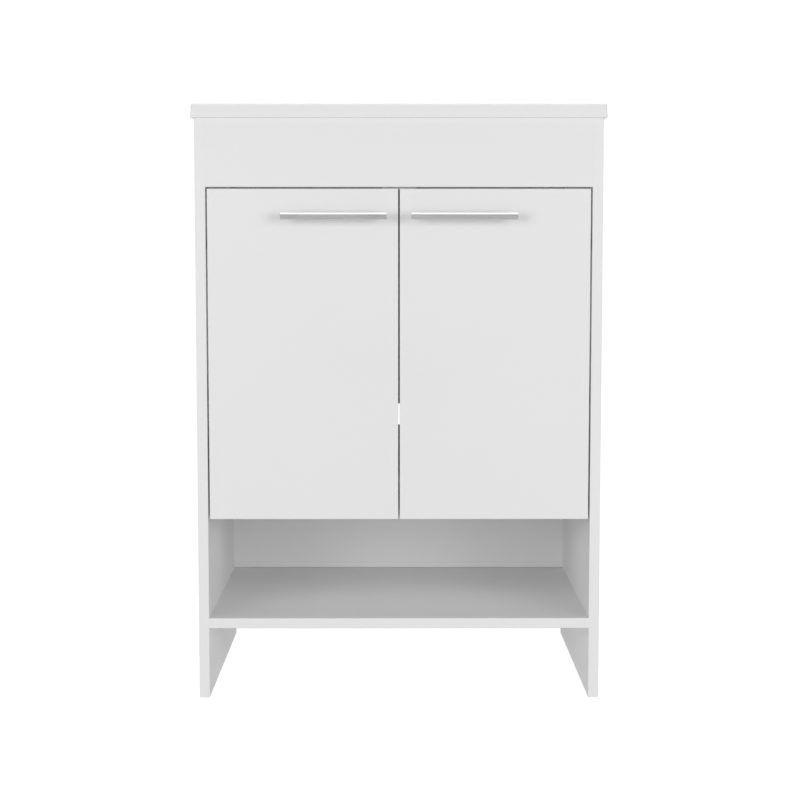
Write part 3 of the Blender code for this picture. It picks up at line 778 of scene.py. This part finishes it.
def screw(name, node, size, seat, direction, length, own=True):
    """A dome-headed screw with a cross recess. The seat is under its head. One that isn't its own
    node in the CAD only rides with the node."""
    head_radius, head_height, shank_radius = size
    dome = [(0, head_height), (head_radius * 0.45, head_height * 0.95)]
    dome += [(head_radius * 0.8, head_height * 0.72), (head_radius * 0.97, head_height * 0.36)]
    dome += [(head_radius, head_height * 0.12), (head_radius * 0.96, 0), (shank_radius, 0)]
    dome += [(shank_radius, -length + shank_radius), (shank_radius * 0.4, -length), (0, -length)]
    top = Vector(seat) + Vector(direction) * head_height
    slots = cross_recess(head_radius, head_height * 0.7, top, direction)
    shape = combined(lathe(dome, seat, direction, 32), "DIFFERENCE", slots, (ZINC,))
    piece(name, shape, (ZINC,), node, stands_for=None if own else ())


def screws():
    for node in sorted(frame["nodes"]):
        for kind, size in SCREW_SIZES.items():
            if kind in node:
                low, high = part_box(node)
                head_height = size[1]
                seat = (low + high) / 2
                if kind == "handle_screw":
                    direction = Vector((0, 1, 0))
                    seat.y = high.y - head_height
                    length = high.y - low.y - head_height
                else:
                    sign = -1 if "right" in node else 1
                    direction = Vector((sign, 0, 0))
                    seat.x = (high.x if sign > 0 else low.x) - sign * head_height
                    length = high.x - low.x - head_height
                screw(f"{node}_cross", node, size, seat, direction, length)


def cams():
    for node in sorted(n for n in frame["nodes"] if n.startswith("shelf_cam")):
        low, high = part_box(node)
        radius = (high.x - low.x) / 2
        foot = (low + high) / 2
        foot.z = high.z
        tall = high.z - low.z
        profile = [(0, 0), (radius, 0), (radius, tall - CAM_ROUND), (radius - CAM_ROUND, tall)]
        profile += [(radius * 0.72, tall), (radius * 0.66, tall - CAM_DISH), (0, tall - CAM_DISH)]
        face = foot - Vector((0, 0, tall - CAM_DISH))
        slots = cross_recess(radius * 0.8, CAM_SLOT_DEPTH, face, (0, 0, -1))
        shape = combined(lathe(profile, foot, (0, 0, -1)), "DIFFERENCE", slots, (CASTING,))
        piece(f"{node}_cast", shape, (CASTING,), node)


# Hinges


def tablet(low, high, axis, corner, rounding):
    """A flat plate with round corners across the axis and eased rims."""
    shape = block(low, high)
    upright = [
        e for e in shape.edges if abs((e.verts[0].co - e.verts[1].co).normalized()[axis]) > 0.9
    ]
    bmesh.ops.bevel(shape, geom=upright, offset=corner, segments=6, profile=0.5, affect="EDGES")
    rims = [e for e in shape.edges if any(abs(f.normal[axis]) > 0.9 for f in e.link_faces)]
    bmesh.ops.bevel(shape, geom=rims, offset=rounding, segments=2, profile=0.5, affect="EDGES")
    return shape


def cup_dish(radius, depth, foot):
    """The cup itself, with a rounded floor inside and out and a rolled rim."""
    inner, floor, bend, roll = radius - 1.0 * MM, 0.8 * MM, 1.5 * MM, 0.4 * MM
    profile = [(0, floor)]
    profile += arc((inner - bend, floor + bend), bend, 270, 360, 6)
    profile += arc((inner + roll, depth - roll), roll, 180, 90, 4)
    profile += [(radius, depth)]
    profile += arc((radius - 1.0 * MM, 1.0 * MM), 1.0 * MM, 0, -90, 5)
    profile += [(0, 0)]
    return lathe(profile, foot, (0, 1, 0), 64)


def hinge_cup(node, pin):
    """A pressed cup with a round-cornered flange, two bosses for the pin and two screws into the door."""
    low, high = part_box(node)
    pin_low, pin_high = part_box(pin)
    centre = (low + high) / 2
    hole = (pin_low + pin_high) / 2
    radius = (high.x - low.x) / 2
    flange_low = Vector((centre.x - FLANGE_HALF_WIDTH, high.y - FLANGE_THICKNESS, low.z))
    flange_high = Vector((centre.x + FLANGE_HALF_WIDTH, high.y, high.z))
    flange = tablet(flange_low, flange_high, 1, FLANGE_CORNER, FLANGE_ROUND)
    foot = Vector((centre.x, low.y, centre.z))
    reach = radius - MOUTH_INSIDE
    profile = [(0, 0), (reach, 0), (reach, CUTTER_DEPTH), (0, CUTTER_DEPTH)]
    mouth = lathe(profile, foot, (0, 1, 0), 64)
    flange = combined(flange, "DIFFERENCE", [mouth], (PLATE,))
    parts = [cup_dish(radius, high.y - low.y - RIM_STEP, foot)]
    for sign in (-1, 1):
        near, far = sorted((centre.z + sign * BOSS_START, centre.z + sign * BOSS_END))
        boss_low = Vector((hole.x - BOSS_HALF_WIDTH, low.y + 0.4 * MM, near))
        boss_high = Vector((hole.x + BOSS_HALF_WIDTH, hole.y + BOSS_HALF_WIDTH, far))
        parts.append(block(boss_low, boss_high, BOSS_ROUND))
    piece(f"{node}_pressed", combined(flange, "UNION", parts, (PLATE,)), (PLATE,), node)
    for place, sign in (("lower", -1), ("upper", 1)):
        seat = Vector((centre.x, high.y, centre.z + sign * CUP_SCREW_OFFSET))
        name = f"{node}_screw_{place}"
        screw(name, node, CUP_SCREW_SIZE, seat, (0, 1, 0), CUP_SCREW_LENGTH, own=False)


def eased(node):
    """The CAD node's own shape, with its sharp edges eased as a pressing's are."""
    shape = bmesh.new()
    shape.from_mesh(frame["nodes"][node].data)
    bmesh.ops.remove_doubles(shape, verts=shape.verts, dist=0.001 * MM)
    bmesh.ops.dissolve_limit(shape, angle_limit=math.radians(1), verts=shape.verts, edges=shape.edges)
    sharp = [e for e in shape.edges if len(e.link_faces) == 2 and e.calc_face_angle() > math.radians(40)]
    bmesh.ops.bevel(
        shape,
        geom=sharp,
        offset=PRESSED_ROUND,
        segments=2,
        profile=0.5,
        affect="EDGES",
        clamp_overlap=True,
    )
    for face in shape.faces:
        face.material_index = 0
    return shape


def hinges():
    for side in SIDES:
        for level in LEVELS:
            hinge = f"{side}_{level}_hinge"
            hinge_cup(f"{hinge}_cup", f"{hinge}_pin")
            for kind in ("arm", "plate"):
                node = f"{hinge}_{kind}"
                piece(f"{node}_pressed", eased(node), (PLATE,), node)


# CAD nodes whose shape stays


def dress_cad_nodes():
    dressed = {"_pin": ZINC, "shelf_bolt": ZINC}
    for node, made in frame["nodes"].items():
        if made.hide_render:
            continue
        surface = next(s for ending, s in dressed.items() if ending in node)
        made.data.materials.clear()
        made.data.materials.append(surface)


# Studio


def floor():
    """A pale floor that is as bright as the backdrop, so the two meet without a line."""
    shape = bmesh.new()
    bmesh.ops.create_grid(shape, x_segments=1, y_segments=1, size=40)
    mesh = bpy.data.meshes.new("floor")
    shape.to_mesh(mesh)
    shape.free()
    surface = Surface("pale_floor")
    tone = surface.span(surface.noise(1.5, 2), 0, 1)
    surface.set("Base Color", surface.mix(tone, grey(0.09), grey(0.11)))
    surface.set("Roughness", 0.9)
    surface.set("Specular IOR Level", 0.0)
    surface.set("Emission Color", (1, 1, 1, 1))
    surface.set("Emission Strength", FLOOR_GLOW)
    mesh.materials.append(surface.material)
    made = bpy.data.objects.new("floor", mesh)
    made.visible_diffuse = False
    bpy.context.scene.collection.objects.link(made)


def soft_light(name, place, aim, size, watts):
    data = bpy.data.lights.new(name, "AREA")
    data.shape = "RECTANGLE"
    data.size, data.size_y = size
    data.energy = watts
    made = bpy.data.objects.new(name, data)
    made.location = place
    made.rotation_euler = (Vector(aim) - Vector(place)).to_track_quat("-Z", "Y").to_euler()
    made.visible_camera = False
    bpy.context.scene.collection.objects.link(made)


def studio():
    """A white surround that lights less than it shows, with soft boxes before and above."""
    bpy.context.scene.view_settings.view_transform = "Standard"
    world = bpy.data.worlds.new("studio")
    bpy.context.scene.world = world
    world.use_nodes = True
    nodes, links = world.node_tree.nodes, world.node_tree.links
    ambient = nodes["Background"]
    ambient.inputs["Color"].default_value = (1, 1, 1, 1)
    ambient.inputs["Strength"].default_value = AMBIENT
    white = nodes.new("ShaderNodeBackground")
    white.inputs["Color"].default_value = (1, 1, 1, 1)
    white.inputs["Strength"].default_value = BACKDROP
    shown = nodes.new("ShaderNodeMixShader")
    links.new(nodes.new("ShaderNodeLightPath").outputs["Is Camera Ray"], shown.inputs[0])
    links.new(ambient.outputs[0], shown.inputs[1])
    links.new(white.outputs[0], shown.inputs[2])
    links.new(shown.outputs[0], nodes["World Output"].inputs[0])
    before = (0, FRONT - FRONT_AHEAD, 0.7)
    soft_light("front_softbox", before, (0, FRONT, 0.5), (3.0, 2.0), FRONT_WATTS)
    for side, sign in SIDES.items():
        place = (sign * SIDE_OUT, FRONT - SIDE_AHEAD, 0.8)
        soft_light(f"{side}_softbox", place, (0, FRONT, 0.4), (2.0, 2.0), SIDE_WATTS)
    above = (0, FRONT, OVERHEAD_HEIGHT)
    soft_light("overhead_softbox", above, (0, FRONT + 0.02, 0), (3.0, 0.6), OVERHEAD_WATTS)
    bay_low, bay_high = map(Vector, OPENINGS["open_bay"])
    over = (bay_low + bay_high) / 2 + Vector((0, -BAY_FORWARD, BAY_ABOVE))
    soft_light("bay_fill", over, over - Vector((0, 0, 0.1)), (0.46, 0.20), BAY_WATTS)
    floor()


def camera():
    data = bpy.data.cameras.new("camera")
    data.lens = CAMERA_LENS
    data.clip_end = 100
    made = bpy.data.objects.new("camera", data)
    made.location = (CAMERA_SIDE, FRONT - CAMERA_AHEAD, CAMERA_HEIGHT)
    made.rotation_euler = (math.radians(90) - CAMERA_DOWN, 0, CAMERA_TURN)
    bpy.context.scene.collection.objects.link(made)
    bpy.context.scene.camera = made


boards()
doors()
sink_top()
handles()
screws()
cams()
hinges()
dress_cad_nodes()
studio()
camera()
